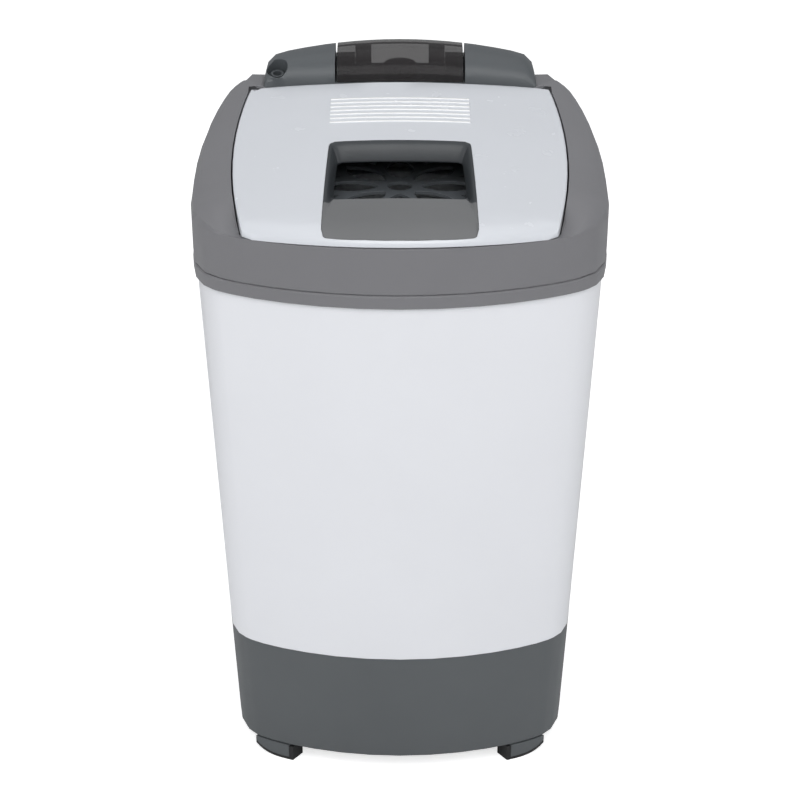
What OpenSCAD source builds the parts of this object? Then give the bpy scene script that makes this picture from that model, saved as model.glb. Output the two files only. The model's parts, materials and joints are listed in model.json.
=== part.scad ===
// Portable laundry spin dryer.
// Millimetres, +Z up, front towards -Y, origin on the floor under the middle of the cabinet.

/* [Cabinet plan] */
// Width of the cabinet at the collar
cabinet_w = 345; // [325:1:365]
// Depth of the cabinet at the collar
cabinet_d = 336; // [320:1:352]
// Radius of the bowed front
front_r = 330; // [280:5:420]
// Radius of the bowed sides
side_r = 600; // [500:10:800]
// Radius of the bowed back
back_r = 420; // [360:10:600]
// How far in front of the middle the cabinet is widest
widest_forward = 32; // [10:1:45]
// How tightly the corners turn, larger is tighter
corner_turn = 19; // [14:0.5:30]

/* [Cabinet heights] */
// Underside of the base above the floor
base_z = 16; // [12:1:20]
// Joint between the base and the white body
body_z = 127; // [115:1:140]
// Lower edge of the grey rim band
band_z = 473; // [460:1:485]
// Height of the rim band
band_h = 11; // [9:0.5:13]
// Height at which the collar's wall starts to curve in
shoulder_z = 523; // [519:0.5:525]
// Draft of the body and base walls, in degrees
draft = 2.35; // [1.6:0.05:2.8]
// Wall of the moulded cabinet parts
wall = 2.6; // [2.2:0.1:3]
// How far the body stands in from the rim band
body_step = 2.3; // [1.8:0.1:2.8]
// Depth of the shadow groove at each moulded joint
groove = 1.2; // [0.6:0.1:1.6]

/* [Top] */
// Height of the lid's surface at its front edge, before the front rolls down
top_z = 534.4; // [532:0.2:537]
// Rise of the top towards the back, per millimetre
top_slope = 0.147; // [0.13:0.001:0.16]
// Radius of the crown across the top
crown_r = 1250; // [1000:50:1600]
// Half the lid's width at its widest
lid_half_w = 139.5; // [136:0.5:142]
// Radius of the lid's bowed sides
lid_side_r = 650; // [550:10:800]
// How far the lid's front edge rolls back
lid_roll = 18; // [12:1:24]
// How far the lid's front edge rolls down
lid_drop = 8; // [6:0.5:9]
// Height of the lid's rim below its surface
lid_rim = 9; // [8.6:0.1:10]
// Wall of the lid
lid_wall = 2.2; // [1.8:0.1:2.6]
// Gap round the lid
lid_gap = 1.4; // [1:0.1:2]
// Highest level of the recess floor under the lid
deck_z = 512; // [509:0.5:514]
// Level of the ledge that carries the console
console_deck_z = 564; // [562:0.5:566]
// Fullness of the collar's shoulder at the front, 2 is an ellipse
shoulder_fullness = 2.3; // [2:0.1:3]
// How much fuller the shoulder is towards the back
rear_fullness = 2.2; // [1:0.1:3]
// Rise of the collar's back corners beside the console
rear_rise = 5; // [2:0.5:6]

/* [Lid hinge] */
// Distance of the lid's hinge axis behind the cabinet's front
hinge_back = 261; // [258:0.5:264]
// Depth of the hinge axis under the lid's surface at the ears
hinge_sink = 8.5; // [8:0.1:9]
// Radius of the lid's hinge pins
hinge_pin_r = 2.5; // [2:0.1:2.8]
// Radial clearance of pins that turn
pin_fit = 0.06; // [0.03:0.01:0.1]

/* [Lid window] */
// Half the width of the handle insert
insert_half_w = 61.5; // [58:0.5:64]
// Distance of the insert's back edge behind the cabinet's front
insert_back = 156; // [150:1:162]
// Half the width of the finger window
window_half_w = 54.5; // [50:0.5:56]
// Front and back edges of the finger window behind the cabinet's front
window_front = 66; // [60:1:72]
window_back = 147; // [140:1:149]
// Depth of the finger window below the lid's surface
window_depth = 13; // [11:0.5:14]
// How far the grip ramp dips below the lid's surface at the window
ramp_dip = 3.6; // [2.5:0.1:5]

/* [Console] */
// Half the length of the console
console_half_w = 121; // [117:1:123]
// Height of the console's crest in the middle
crest_z = 594.5; // [590:0.5:600]
// Distance of the crest behind the cabinet's front
crest_back = 315; // [311:0.5:317]
// Fullness of the console's front face, 2 is an ellipse
face_fullness = 2.2; // [2:0.1:2.6]
// Radius of the arch across the console's crest
crest_arch_r = 700; // [600:20:1000]
// Half the width of the knob bay
bay_half_w = 58; // [54:0.5:62]
// Floor of the knob bay
bay_z = 567; // [566:0.5:568]
// Gap between the smoked cover and the bay's cheeks
cover_gap = 1.8; // [1.2:0.1:2.4]
// Thickness of the smoked cover
cover_t = 2.2; // [1.8:0.1:2.6]

/* [Timer knob] */
// Radius of the timer knob
knob_r = 15.3; // [13:0.1:17]
// Height of the timer knob
knob_h = 11; // [9:0.5:11.5]
// Number of grip ribs on the knob
knob_ribs = 28; // [20:1:36]
// Radius of the timer's spindle
spindle_r = 3; // [2.5:0.1:3.5]

/* [Tub and basket] */
// How far the tub's axis stands in front of the cabinet's middle
tub_forward = 10; // [6:0.5:12]
// Outer radius of the tub
tub_r = 124; // [121:0.5:126]
// Underside of the tub
tub_z = 172; // [168:0.5:176]
// Radius of the mouth in the recess floor
mouth_r = 112; // [110:0.5:113]
// Radius of the basket
basket_r = 109; // [106:0.5:110]
// Underside of the basket
basket_z = 194; // [192:0.5:197]
// Gap between the basket's balance ring and the recess floor
basket_gap = 20; // [16:1:28]
// Wall of the basket
basket_wall = 1.2; // [1:0.1:1.6]
// Rows of holes in the basket
hole_rows = 7; // [5:1:9]
// Holes in each row of the basket
holes_per_row = 20; // [16:2:24]
// Radius of the holes in the basket
basket_hole_r = 3; // [2:0.1:3.5]

/* [Inner cover] */
// Number of petals in the inner cover
petals = 8; // [6:1:10]
// Distance from the axis to the root and the tip of a petal
petal_root = 17.5; // [16:0.5:20]
petal_tip = 66; // [60:1:70]
// Width of a petal
petal_w = 23.5; // [20:0.5:25]
// Radius of the middle hole
middle_hole_r = 10.3; // [9:0.1:11]
// Thickness of the inner cover
inner_cover_t = 3; // [2.5:0.1:3.5]

/* [Drive] */
// Radius of the motor shaft
shaft_r = 6; // [5:0.1:6.5]
// Radius of the motor
motor_r = 58; // [54:1:62]
// Height of the motor's laminated core
core_h = 60; // [50:1:64]
// Level of the motor plate
plate_z = 62; // [58:1:66]
// Radius of the circle of suspension mounts
mount_circle_r = 98; // [96:0.5:100]
// Radius of the brake drum
drum_r = 46; // [42:1:50]
// Clearance between the brake pad and the drum
brake_gap = 1.2; // [1:0.1:1.5]

/* [Feet and outlets] */
// Thickness of the rubber foot pads
pad_t = 3; // [2:0.5:4]
// Outer radius of the drain spout
spout_r = 12; // [11:0.5:13]
// Bore radius of the drain spout
spout_bore_r = 9.5; // [8:0.5:10]
// Height of the drain spout above the floor
spout_z = 96; // [90:1:100]
// Radius of the rinse nozzle
nozzle_r = 5.7; // [5:0.1:6.2]
// Bore radius of the rinse nozzle
nozzle_bore_r = 4; // [3.5:0.1:4.4]

/* [Hidden] */

// Slack between parts that touch but do not turn, and thickness of a thin printed or pressed film.
slack = 0.3;
overlap = 0.6;

half_w = cabinet_w / 2;
half_d = cabinet_d / 2;
front_y = -half_d;
tub_y = -tub_forward;
hinge_y = front_y + hinge_back;
ear_x = 127;
ear_t = 3.2;
ear_r = hinge_pin_r + 3;
hinge_z = top_at(ear_x, hinge_y) - hinge_sink;
lid_back_y = hinge_y + top_at(0, hinge_y) - hinge_z;
lid_side_y = front_y + 165;
ledge_front = 7;
body_top_z = band_z + band_h - 3.2;
basket_h = deck_z - basket_gap - basket_z;

// ---- Plan outlines, all as a distance from a middle point in a given direction ----

// Distance from the middle to the edge of a disc, in direction a; c is the disc's centre.
function reach(a, c, r) = let (b = c * [cos(a), sin(a)]) b + sqrt(b * b - c * c + r * r);
// The nearest of several edges, with the corners between them turned by n.
function nearest_edge(edges, n) = pow([for (e = edges) pow(e, -n)] * [for (e = edges) 1], -1 / n);
// The cabinet's outline, inset on all sides.
function plan_reach(a, inset) = nearest_edge([
    reach(a, [0, front_y + front_r], front_r - inset),
    reach(a, [0, half_d - back_r], back_r - inset),
    reach(a, [half_w - side_r, -widest_forward], side_r - inset),
    reach(a, [side_r - half_w, -widest_forward], side_r - inset)], corner_turn);
// The opening in the collar, or the lid, by its insets at the front and elsewhere.
lid_turn = 80;
function top_reach(a, front_inset, inset) = nearest_edge([
    reach(a, [0, front_y + front_r], front_r - front_inset),
    reach(a, [0, lid_back_y - crown_r], crown_r - inset),
    reach(a, [lid_half_w - lid_side_r, lid_side_y], lid_side_r - inset),
    reach(a, [lid_side_r - lid_half_w, lid_side_y], lid_side_r - inset)], lid_turn);

// ---- Heights of the top ----

// The lid's plane with its crown.
function top_at(x, y) = top_z + top_slope * (y - front_y) - x * x / (2 * crown_r);
// Distance behind the bowed front.
function behind_front(x, y) = y - front_y - front_r + sqrt(front_r * front_r - x * x);
function front_drop(x, y) = let (d = max(0, min(lid_roll, lid_roll - behind_front(x, y))))
    lid_drop * (1 - sqrt(1 - pow(d / lid_roll, 2)));
// The lid's back edge is a barrel about its hinge axis.
function barrel_at(x, y, t) = let (r = top_at(x, hinge_y) - hinge_z - t)
    hinge_z + sqrt(max(0, r * r - pow(y - hinge_y, 2)));
// The lid's surface, or t below it.
function lid_at(x, y, t = 0) = y > hinge_y ? barrel_at(x, y, t) : top_at(x, y) - front_drop(x, y) - t;
// The collar's top beside the lid, and the console's ledge behind it.
function step_in(t) = let (u = max(0, min(1, t))) u * u * (3 - 2 * u);
function collar_at(x, y) = let (
        ledge = step_in((console_half_w + 4 - abs(x)) / 4) * step_in((y - hinge_y) / 6))
    (top_at(x, y) - front_drop(x, y) - 0.5) * (1 - ledge) + console_deck_z * ledge;

// ---- Stations round the plan, closest together at the four corners ----

front_steps = 7;
side_steps = 14;
back_steps = 7;
half_steps = front_steps + side_steps + back_steps;
function half_angles(front_corner, back_corner) = [
    for (i = [0:front_steps - 1]) -90 + (front_corner + 90) * sin(90 * i / front_steps),
    for (i = [0:side_steps - 1])
        front_corner + (back_corner - front_corner) * (1 - cos(180 * i / side_steps)) / 2,
    for (i = [0:back_steps]) back_corner + (90 - back_corner) * (1 - cos(90 * i / back_steps))];
function all_angles(half) = concat(half, [for (i = [half_steps - 1:-1:1]) 180 - half[i]]);
top_angles = all_angles(half_angles(-47.5, 40));
plan_angles = all_angles(half_angles(-41.5, 43));

function ring(angles, inset, z) = [for (a = angles) let (r = plan_reach(a, inset))
    [r * cos(a), r * sin(a), z]];
function circle_ring(angles, r, y, z) = [for (a = angles) [r * cos(a), y + r * sin(a), z]];
function top_line(front_inset, inset) = [for (a = top_angles)
    let (r = top_reach(a, front_inset, inset)) [r * cos(a), r * sin(a)]];
function blend(p, q, t) = [for (i = [0:len(p) - 1]) p[i] * (1 - t) + q[i] * t];

// A closed skin over rings of equal length; loop joins the last ring to the first.
module skin(rings, loop = true) {
    n = len(rings[0]);
    m = len(rings);
    strips = [for (j = [0:m - (loop ? 1 : 2)], i = [0:n - 1])
        let (k = (j + 1) % m, l = (i + 1) % n)
        each [[j * n + i, k * n + i, k * n + l], [j * n + i, k * n + l, j * n + l]]];
    caps = loop ? [] : [[for (i = [0:n - 1]) i], [for (i = [n - 1:-1:0]) (m - 1) * n + i]];
    polyhedron([for (r = rings) each r], concat(strips, caps), convexity = 8);
}

// ---- Base, body and rim band ----

function draft_inset(z) = body_step + (band_z - z) * tan(draft);
lap_h = 10;
lap_gap = 0.3;
base_bore_r = 78;

// Section of a swept band between two distances from the middle and two heights.
function band_section(a, r, depth, low, high) = let (u = [cos(a), sin(a)])
    [[u.x * r, u.y * r, low], [u.x * (r - depth), u.y * (r - depth), low],
        [u.x * (r - depth), u.y * (r - depth), high], [u.x * r, u.y * r, high]];

// The feet stand under the corners; each runs from its inner edge round towards the side.
foot_inner_angle = 51.7;
foot_sweep = 11;
foot_depth = 14;
foot_steps = 8;
foot_round = 8;
function foot_reach(a) = plan_reach(a, draft_inset(base_z) + 0.5);
// share runs from 0 at the inner edge to 1 at the outer edge of a foot.
module foot_band(rear, low, high, first, last) {
    skin([for (i = [0:foot_steps]) let (
            t = first + (last - first) * i / foot_steps,
            share = rear ? last + first - t : t,
            a = rear ? foot_inner_angle - foot_sweep * share : foot_sweep * share - foot_inner_angle,
            lift = foot_round * pow(max(0, share), 3))
        band_section(a, foot_reach(a), foot_depth, low + lift, high + min(lift, base_z - high))],
        loop = false);
}

module base_housing() color([0.35, 0.37, 0.38]) {
    edge_r = 4;
    difference() {
        union() {
            skin([
                ring(plan_angles, draft_inset(base_z) + edge_r, base_z),
                ring(plan_angles, draft_inset(base_z) + edge_r * 0.3, base_z + edge_r * 0.3),
                ring(plan_angles, draft_inset(base_z), base_z + edge_r),
                ring(plan_angles, draft_inset(body_z), body_z),
                ring(plan_angles, draft_inset(body_z) + wall + lap_gap, body_z),
                ring(plan_angles, draft_inset(body_z) + wall + lap_gap, body_z + lap_h),
                ring(plan_angles, draft_inset(body_z) + 2 * wall + lap_gap, body_z + lap_h),
                ring(plan_angles, draft_inset(base_z) + wall + 1, base_z + wall + edge_r),
                ring(plan_angles, draft_inset(base_z) + wall + edge_r, base_z + wall),
                circle_ring(plan_angles, base_bore_r, tub_y, base_z + wall),
                circle_ring(plan_angles, base_bore_r, tub_y, base_z)]);
            for (left = [0, 1], rear = [false, true]) mirror([left, 0, 0])
                foot_band(rear, pad_t, base_z + 2, 0, 1);
        }
        translate([0, half_d, spout_z]) rotate([90, 0, 0])
            cylinder(r = spout_r + slack, h = 60, $fn = 48);
        translate([gland_x, base_back(gland_x, gland_z), gland_z]) rotate([90, 0, gland_turn])
            translate([0, 0, -wall]) cylinder(r = gland_r, h = 4 * wall, $fn = 48);
        for (i = [0:3]) translate([0, tub_y, base_z - 1]) rotate(45 + 90 * i)
            translate([plate_screw_r, 0, 0]) cylinder(r = screw_r + 0.2, h = wall + 2, $fn = 24);
    }
}
gland_x = 95;
gland_z = 60;
gland_r = 7;
// The gland stands square to the curved back wall.
gland_turn = -asin(gland_x / (back_r - draft_inset(gland_z)));
plate_screw_r = base_bore_r + 3.5;
screw_r = 1.9;

// A ribbed rubber bush in the base's back wall where the supply enters.
module cord_gland() color([0.12, 0.12, 0.13]) {
    back = base_back(gland_x, gland_z);
    translate([gland_x, back, gland_z]) rotate([90, 0, gland_turn]) rotate_extrude($fn = 48)
        polygon([[3.6, -7], [6, -7], [9.5, -2], [9.5, -0.4], [gland_r - 0.2, -0.4],
            [gland_r - 0.2, wall + 3], [8.5, wall + 3], [8.5, wall + 5.4], [3.6, wall + 5.4]]);
}
// Where the base's back wall stands, at a distance x from the middle and a height z.
function base_back(x, z) = half_d - back_r
    + sqrt(pow(back_r - draft_inset(z), 2) - x * x);

module foot_pad(rear) color([0.06, 0.06, 0.06]) {
    cheek = 0.12;
    foot_band(rear, 0, pad_t - 0.15, 0, 1);
    foot_band(rear, 0, base_z - 1, -cheek, -0.01);
}
module foot_pad_front_right() foot_pad(false);
module foot_pad_front_left() mirror([1, 0, 0]) foot_pad(false);
module foot_pad_rear_right() foot_pad(true);
module foot_pad_rear_left() mirror([1, 0, 0]) foot_pad(true);

// Pressed plate that closes the bore in the base, with slots that let the motor breathe.
module bottom_plate() color([0.62, 0.63, 0.65]) {
    slots = 10;
    difference() {
        translate([0, tub_y, base_z + wall + 0.2]) cylinder(r = base_bore_r + 7, h = 1.5, $fn = 96);
        for (i = [0:slots - 1]) translate([0, tub_y, base_z]) rotate(360 * (i + 0.5) / slots)
            translate([base_bore_r * 0.38, -3, 0]) cube([base_bore_r * 0.42, 6, 12]);
        for (i = [0:3]) translate([0, tub_y, 0]) rotate(45 + 90 * i)
            translate([plate_screw_r, 0, 0]) cylinder(r = screw_r + 0.2, h = 40, $fn = 24);
    }
}

module body_shell() color([0.93, 0.94, 0.96]) skin([
    ring(plan_angles, draft_inset(body_z), body_z + lap_gap),
    ring(plan_angles, body_step, body_top_z),
    ring(plan_angles, body_step + wall, body_top_z),
    ring(plan_angles, draft_inset(body_z) + wall, body_z + lap_gap)]);

// The rim band caps the body's top edge and carries the collar.
module rim_band() color([0.47, 0.47, 0.48]) {
    band_wall = body_step - lap_gap;
    top = band_z + band_h;
    skin([
        ring(plan_angles, 0, band_z),
        ring(plan_angles, 0, top - groove),
        ring(plan_angles, groove, top),
        ring(plan_angles, wall * 2.4, top),
        ring(plan_angles, wall * 2.4, body_top_z + lap_gap),
        ring(plan_angles, band_wall, body_top_z + lap_gap),
        ring(plan_angles, band_wall, band_z)]);
}

// ---- Collar ----

seam_z = band_z + band_h + 0.25;
opening = top_line(ledge_front, -lid_gap);
opening_back = top_line(ledge_front - wall, -lid_gap - wall);
function outline(inset) = [for (a = top_angles) let (r = plan_reach(a, inset))
    [r * cos(a), r * sin(a)]];
// Share of the way from the wall to the opening at which the shoulder ends, by direction.
function shoulder_share(a) = let (
        back = step_in((sin(a) - 0.62) / 0.14), front = step_in((-sin(a) - 0.6) / 0.2))
    0.97 - back * 0.76 - front * 0.12;
function flat(points, z) = [for (p = points) [p.x, p.y, z]];
// Height of the ledge under the lid's front roll.
function rail_at(x, y) = let (
        front = step_in((lid_roll + 4 - behind_front(x, y)) / 6), edge_y = y - behind_front(x, y))
    collar_at(x, y) * (1 - front) + (top_at(x, edge_y) - lid_rim - 0.4) * front;
// The shoulder's edge stands a little higher at the back corners.
function corner_rise(x, y) = rear_rise * step_in((abs(x) - lid_half_w + 3) / 10) * step_in((y - 70) / 30);
function shoulder_ring(outer, inner, start_z, phi, drop) = [for (i = [0:len(outer) - 1])
    let (a = top_angles[i],
        full = shoulder_fullness + rear_fullness * step_in((outer[i].y + 60) / 120),
        s = shoulder_share(a) * (1 - pow(cos(phi), 2 / full)),
        p = outer[i] * (1 - s) + inner[i] * s,
        e = outer[i] * (1 - shoulder_share(a)) + inner[i] * shoulder_share(a),
        top = rail_at(e.x, e.y) + corner_rise(e.x, e.y) - drop)
    [p.x, p.y, start_z + (top - start_z) * pow(sin(phi), 2 / full)]];
function railed(points, drop) = [for (p = points) [p.x, p.y, rail_at(p.x, p.y) - drop]];

module collar() color([0.47, 0.47, 0.48]) {
    outer = outline(0);
    inner = outline(wall);
    spigot = 15;
    lug_w = 10;
    difference() {
        union() {
            difference() {
                union() {
                    skin(concat(
                        [flat(outline(groove), seam_z), flat(outer, seam_z + groove)],
                        [for (phi = [0, 20, 45, 70, 90])
                            shoulder_ring(outer, opening, shoulder_z, phi, 0)],
                        [railed(opening, 0.2), flat(opening, deck_z),
                            circle_ring(top_angles, mouth_r, tub_y, deck_z),
                            circle_ring(top_angles, mouth_r, tub_y, deck_z - spigot),
                            circle_ring(top_angles, mouth_r + wall, tub_y, deck_z - spigot),
                            circle_ring(top_angles, mouth_r + wall, tub_y, deck_z - wall),
                            flat(opening_back, deck_z - wall), railed(opening_back, wall + 0.2)],
                        [for (phi = [90, 70, 45, 20, 0])
                            shoulder_ring(inner, opening_back, shoulder_z - wall, phi, wall + 0.2)],
                        [flat(inner, seam_z)]));
                    for (side = [0, 1]) mirror([side, 0, 0])
                        translate([ear_x - 1.4, hinge_y + 2.5, hinge_z - sweep_r])
                            cube([10, sweep_r - 0.8, sweep_r + 7]);
                }
                // The lid's back corners sweep round their hinge inside these hollows.
                for (side = [0, 1]) mirror([side, 0, 0]) translate([ear_x - 1.5, hinge_y, hinge_z])
                    rotate([0, 90, 0]) cylinder(r = sweep_r, h = lid_half_w - 5.3 - ear_x + 1.5, $fn = 64);
            }
            for (side = [-1, 1]) translate([side * (half_w + 0.4), -widest_forward, seam_z + 2.2])
                cube([2.4, lug_w, 4.2], center = true);
            for (side = [0, 1]) mirror([side, 0, 0]) translate([lid_half_w - 6, hinge_y, hinge_z])
                rotate([0, 90, 0]) cylinder(r = hinge_pin_r + 2.4, h = 8, $fn = 32);
        }
        for (side = [0, 1]) mirror([side, 0, 0]) translate([ear_x - 3, hinge_y, hinge_z])
            rotate([0, 90, 0]) cylinder(r = hinge_pin_r, h = 17, $fn = 32);
        // The console stands in a shallow pocket; its timer's spindle and the lid switch pass through.
        translate([0, 0, console_deck_z + 0.05]) linear_extrude(40) polygon(console_plan(slack));
        translate([0, knob_y, console_deck_z - 10]) cylinder(r = spindle_r + 1, h = 20, $fn = 32);
        translate([switch_at.x, switch_at.y, deck_z - 10]) cylinder(r = plunger_r + slack, h = 20, $fn = 48);
    }
}
// Radius of the hollows round the lid's back corners.
sweep_r = hinge_sink + 3.3;

// ---- Lid ----

module lid_hinge_pins() color([0.7, 0.7, 0.72])
    for (side = [0, 1]) mirror([side, 0, 0]) translate([ear_x - 1, hinge_y, hinge_z])
        rotate([0, 90, 0]) cylinder(r = hinge_pin_r, h = 14.5, $fn = 32);

window_mid = [0, front_y + (insert_back + 4) / 2];
window_angles = all_angles(half_angles(-51, 50));
// Outline round the window insert, from its own middle, grown outwards by g.
function window_reach(a, g) = let (far = 4000) nearest_edge([
    reach(a, [0, front_y + front_r] - window_mid, front_r - lid_wall - 0.2 + g),
    reach(a, [0, front_y + insert_back - far] - window_mid, far + g),
    reach(a, [insert_half_w - far, -60], far + g),
    reach(a, [far - insert_half_w, -60], far + g)], 30);
function window_line(g) = [for (a = window_angles) let (r = window_reach(a, g))
    window_mid + [r * cos(a), r * sin(a)]];
function on_lid(points, drop) = [for (p = points) [p.x, p.y, lid_at(p.x, p.y, drop)]];
function under_lid(points, drop) = [for (p = points)
    [p.x, p.y, p.y > hinge_y ? hinge_z - 2 : top_at(p.x, p.y) - drop]];

// A small ring inside the window, to which the lid's rings close in.
function window_core() = [for (a = window_angles) window_mid + window_core_r * [cos(a), sin(a)]];
window_core_r = 16;
module window_cut(grow) translate([0, 0, deck_z]) linear_extrude(60) polygon(window_line(grow));

module lid_panel() color([0.91, 0.92, 0.95]) {
    edge = top_line(0, 0);
    inner_edge = top_line(lid_wall, lid_wall);
    core = window_core();
    steps = [0.008, 0.03, 0.08, 0.2, 0.45, 1];
    difference() {
        union() {
            skin(concat(
                [under_lid(edge, lid_rim), on_lid(edge, 0.8)],
                [for (t = steps) on_lid(blend(edge, core, t), 0)],
                [for (i = [len(steps) - 1:-1:2]) on_lid(blend(inner_edge, core, steps[i]), lid_wall)],
                [on_lid(inner_edge, lid_wall + 0.3), under_lid(inner_edge, lid_rim)]));
            for (side = [0, 1]) mirror([side, 0, 0]) translate([ear_x, hinge_y, hinge_z])
                rotate([0, 90, 0]) {
                    cylinder(r = ear_r, h = ear_t, $fn = 48);
                    translate([-hinge_sink + lid_wall, -ear_r, 0])
                        cube([hinge_sink - lid_wall, 2 * ear_r, ear_t]);
                }
            lid_ribs();
        }
        window_cut(0);
        for (side = [0, 1]) mirror([side, 0, 0]) translate([ear_x - 1, hinge_y, hinge_z])
            rotate([0, 90, 0]) cylinder(r = hinge_pin_r + pin_fit, h = ear_t + 14, $fn = 32);
    }
}

// Seven low ribs across the lid.
module lid_ribs() {
    rib_half_w = 60;
    rib_w = 3;
    rib_h = 0.8;
    pitch = 7;
    first = 189;
    for (i = [0:6]) let (y = front_y + first + i * pitch) skin([for (x = [-rib_half_w:20:rib_half_w])
        let (z = top_at(x, y)) [[x, y - rib_w / 2, z - overlap], [x, y + rib_w / 2, z - overlap],
            [x, y + rib_w * 0.3, z + rib_h], [x, y - rib_w * 0.3, z + rib_h]]], loop = false);
}

// Flat inner panel that closes the lid from below.
module lid_liner() color([0.88, 0.89, 0.91]) {
    edge = top_line(lid_wall + ledge_front, lid_wall + 1);
    core = window_core();
    depth = lid_rim - 0.4;
    difference() {
        skin([
            liner_ring(edge, depth), liner_ring(edge, depth - liner_t),
            liner_ring(blend(edge, core, 0.5), depth - liner_t), liner_ring(core, depth - liner_t),
            liner_ring(core, depth), liner_ring(blend(edge, core, 0.5), depth)]);
        window_cut(1.2);
    }
}
liner_t = 1.8;
function liner_ring(points, depth) = [for (p = points)
    let (q = [p.x, min(p.y, hinge_y - 8)]) [p.x, min(p.y, hinge_y - ear_r - 2), top_at(q.x, q.y) - depth]];

// Grey insert: funnel walls round the finger window and a grip ramp in front of it.
module lid_handle() color([0.38, 0.39, 0.41]) {
    rim = window_line(-0.3);
    back = front_y + insert_back - 0.3;
    hole = [for (p = rim) let (front = behind_edge(p.x, lid_wall + 0.5), s = (p.y - front) / (back - front))
        [p.x * window_half_w / insert_half_w, front_y + window_front + (window_back - window_front) * s]];
    slopes = [0, 0.2, 0.45, 0.7, 1];
    skin(concat([for (s = slopes) insert_ring(rim, hole, s, 0)],
        [for (i = [len(slopes) - 1:-1:0]) insert_ring(rim, hole, slopes[i], insert_t)]));
}
insert_t = 2;
// A ring of the insert, a share s of the way from its rim to the window, and t below its face.
function insert_ring(rim, hole, s, t) = [for (i = [0:len(rim) - 1]) let (
        p = rim[i] * (1 - s) + hole[i] * s, steep = step_in((hole[i].y - front_y - window_front) / 24),
        depth = ramp_dip * pow(s, 1.4) * (1 - steep) + window_depth * pow(s, 2) * steep)
    [p.x, p.y, lid_at(p.x, p.y) - 0.1 - depth - t]];
// How far back a line lies that follows the bowed front at a distance d behind it.
function behind_edge(x, d) = front_y + front_r + d - sqrt(front_r * front_r - x * x);

// ---- Console ----

console_foot_z = console_deck_z + 0.2;
console_back = front_y + 327;
console_end = 14;
knob_y = front_y + 301;
// Height of the crest at a distance x from the middle, rounded off at the console's ends.
function crest_at(x) = let (end = max(0, abs(x) - console_half_w + console_end) / console_end)
    crest_z - x * x / (2 * crest_arch_r) - console_end * (1 - sqrt(max(0, 1 - end * end)));
function console_front_at(x) = lid_back_y + lid_gap + 0.8 - x * x / (2 * crown_r);
// A point of the console's arched section, phi running from its back foot over to its front foot.
function console_point(x, phi, t) = let (
        crest_y = front_y + crest_back - x * x / (2 * back_r),
        back_y = console_back - x * x / (2 * back_r),
        h = crest_at(x) - console_foot_z - t,
        full = phi < 90 ? 4 : face_fullness,
        run = phi < 90 ? back_y - t - crest_y : crest_y - console_front_at(x) - t)
    [x, crest_y + sign(90 - phi) * run * pow(abs(cos(phi)), 2 / full),
        console_foot_z + h * pow(sin(phi), 2 / full)];
bay_back_wall = 6;
notch_z = bay_z + 3;
block_z = bay_z + 14;
block_x = 41;
arm_inner_x = 26;
cover_hinge = [front_y + 317.5, bay_z + 9];
inlet_x = -109.5;
inlet_y = front_y + 284.8;
inlet_z = 572.8;
inlet_tilt = 15;
inlet_cup_r = 9.5;
inlet_depth = 5;
// The console's footprint, grown outwards by g.
console_stations = [for (i = [-8:8]) console_half_w * sin(90 * i / 8)];
function console_plan(g) = concat(
    [for (x = console_stations) [x * (1 + g / console_half_w), console_front_at(x) - g]],
    [for (i = [len(console_stations) - 1:-1:0]) let (x = console_stations[i])
        [x * (1 + g / console_half_w), console_back - x * x / (2 * back_r) + g]]);

module console_housing() color([0.37, 0.39, 0.41]) {
    difference() {
        union() {
            skin([for (x = console_stations) [for (phi = [0:15:180]) console_point(x, phi, 0)]],
                loop = false);
            translate([inlet_x, inlet_y, console_foot_z]) cylinder(r = inlet_cup_r + 1.6, h = 8, $fn = 48);
        }
        difference() {
            bay();
            hinge_blocks();
        }
        translate([0, knob_y, console_deck_z - 1]) cylinder(r = spindle_r + 1, h = 10, $fn = 32);
        translate([inlet_x, inlet_y, inlet_z]) rotate([inlet_tilt, 0, 0])
            translate([0, 0, -inlet_depth]) cylinder(r = inlet_cup_r, h = 40, $fn = 48);
        for (side = [0, 1]) mirror([side, 0, 0]) translate([arm_inner_x, cover_hinge.x, cover_hinge.y])
            rotate([0, 90, 0]) cylinder(r = cover_pin_r, h = 26, $fn = 32);
    }
}
cover_pin_r = 1.8;

// The space of the knob bay: open in front and above, with a low back wall and two hinge blocks.
module bay() {
    back = console_back - bay_back_wall;
    far = 60;
    translate([0, 0, bay_z]) {
        translate([-bay_half_w, front_y + 240, 0]) cube([2 * bay_half_w, back - front_y - 240, far]);
        translate([-block_x, back - 1, notch_z - bay_z]) cube([2 * block_x, far, far]);
    }
    translate([-bay_half_w, back - 1, block_z]) cube([2 * bay_half_w, far, far]);
}
// Hinge blocks stand in the back corners of the bay.
module hinge_blocks() for (side = [0, 1]) mirror([side, 0, 0])
    translate([block_x, cover_hinge.x - 7, bay_z]) cube([bay_half_w - block_x, 12, block_z - bay_z]);

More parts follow.
